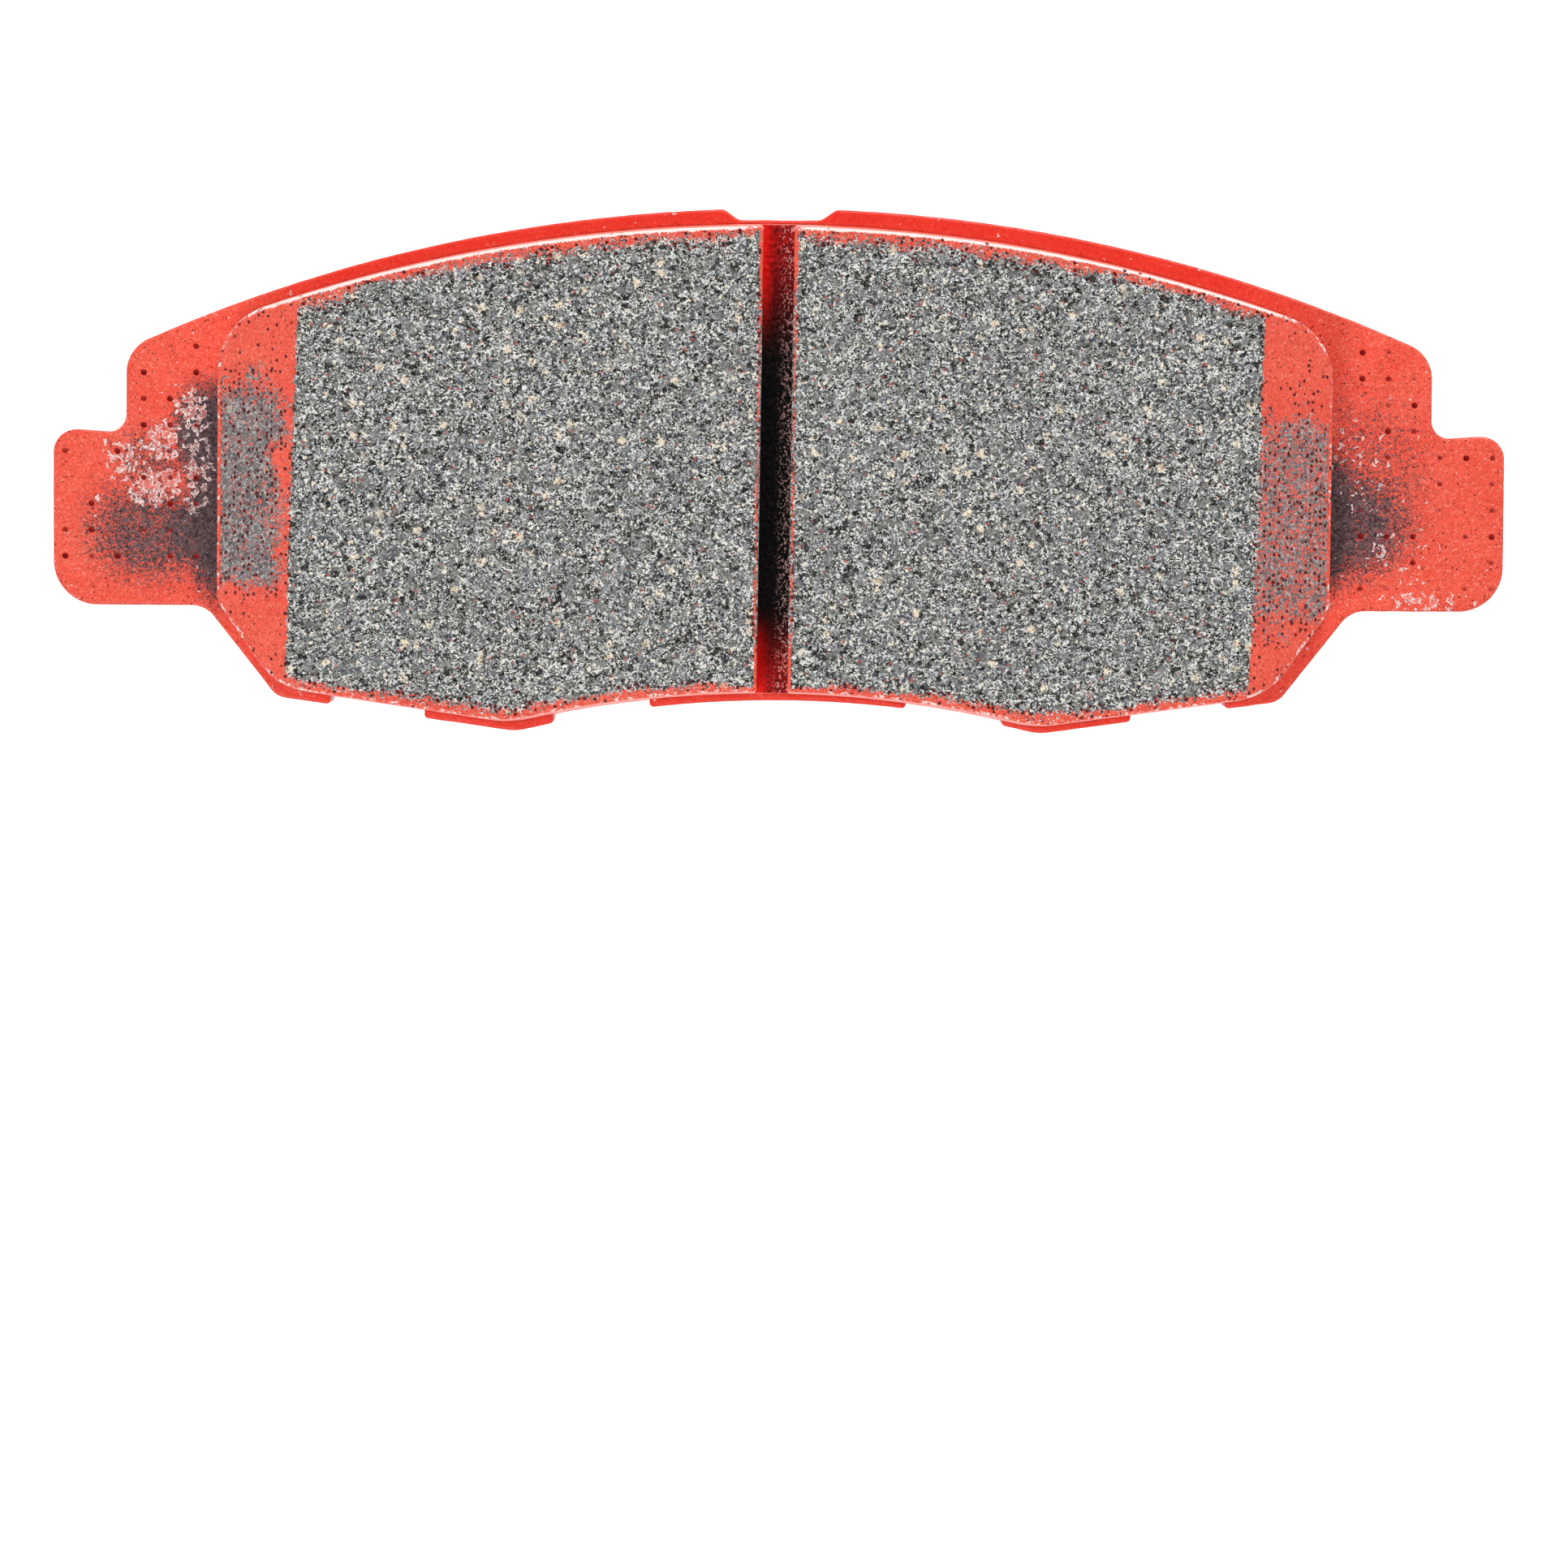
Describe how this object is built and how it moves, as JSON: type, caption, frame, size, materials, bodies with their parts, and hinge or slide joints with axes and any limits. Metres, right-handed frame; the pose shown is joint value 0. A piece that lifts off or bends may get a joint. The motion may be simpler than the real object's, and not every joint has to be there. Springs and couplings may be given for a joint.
{
  "type": "disc brake pad",
  "caption": "Disc brake pad: an arched steel backing plate with hammerhead ears carries slotted friction material with sloped ends, sprayed red at its edges.",
  "frame": {"origin": "on the flat back of the plate, at the middle of the pad's box", "axes": "+X along the pad towards its right ear, +Y towards the arched outer edge, +Z out of the friction face"},
  "size_m": [0.15, 0.0539, 0.0165],
  "materials": {
    "red_powder_coat": "satin",
    "adhesive": "matt",
    "underlayer": "matt",
    "friction_material": "rough"
  },
  "bodies": {
    "root": {"backing_plate": "red_powder_coat", "bonding_film": "adhesive", "underlayer": "underlayer", "friction_block_left": "friction_material", "friction_block_right": "friction_material"}
  },
  "joints": []
}
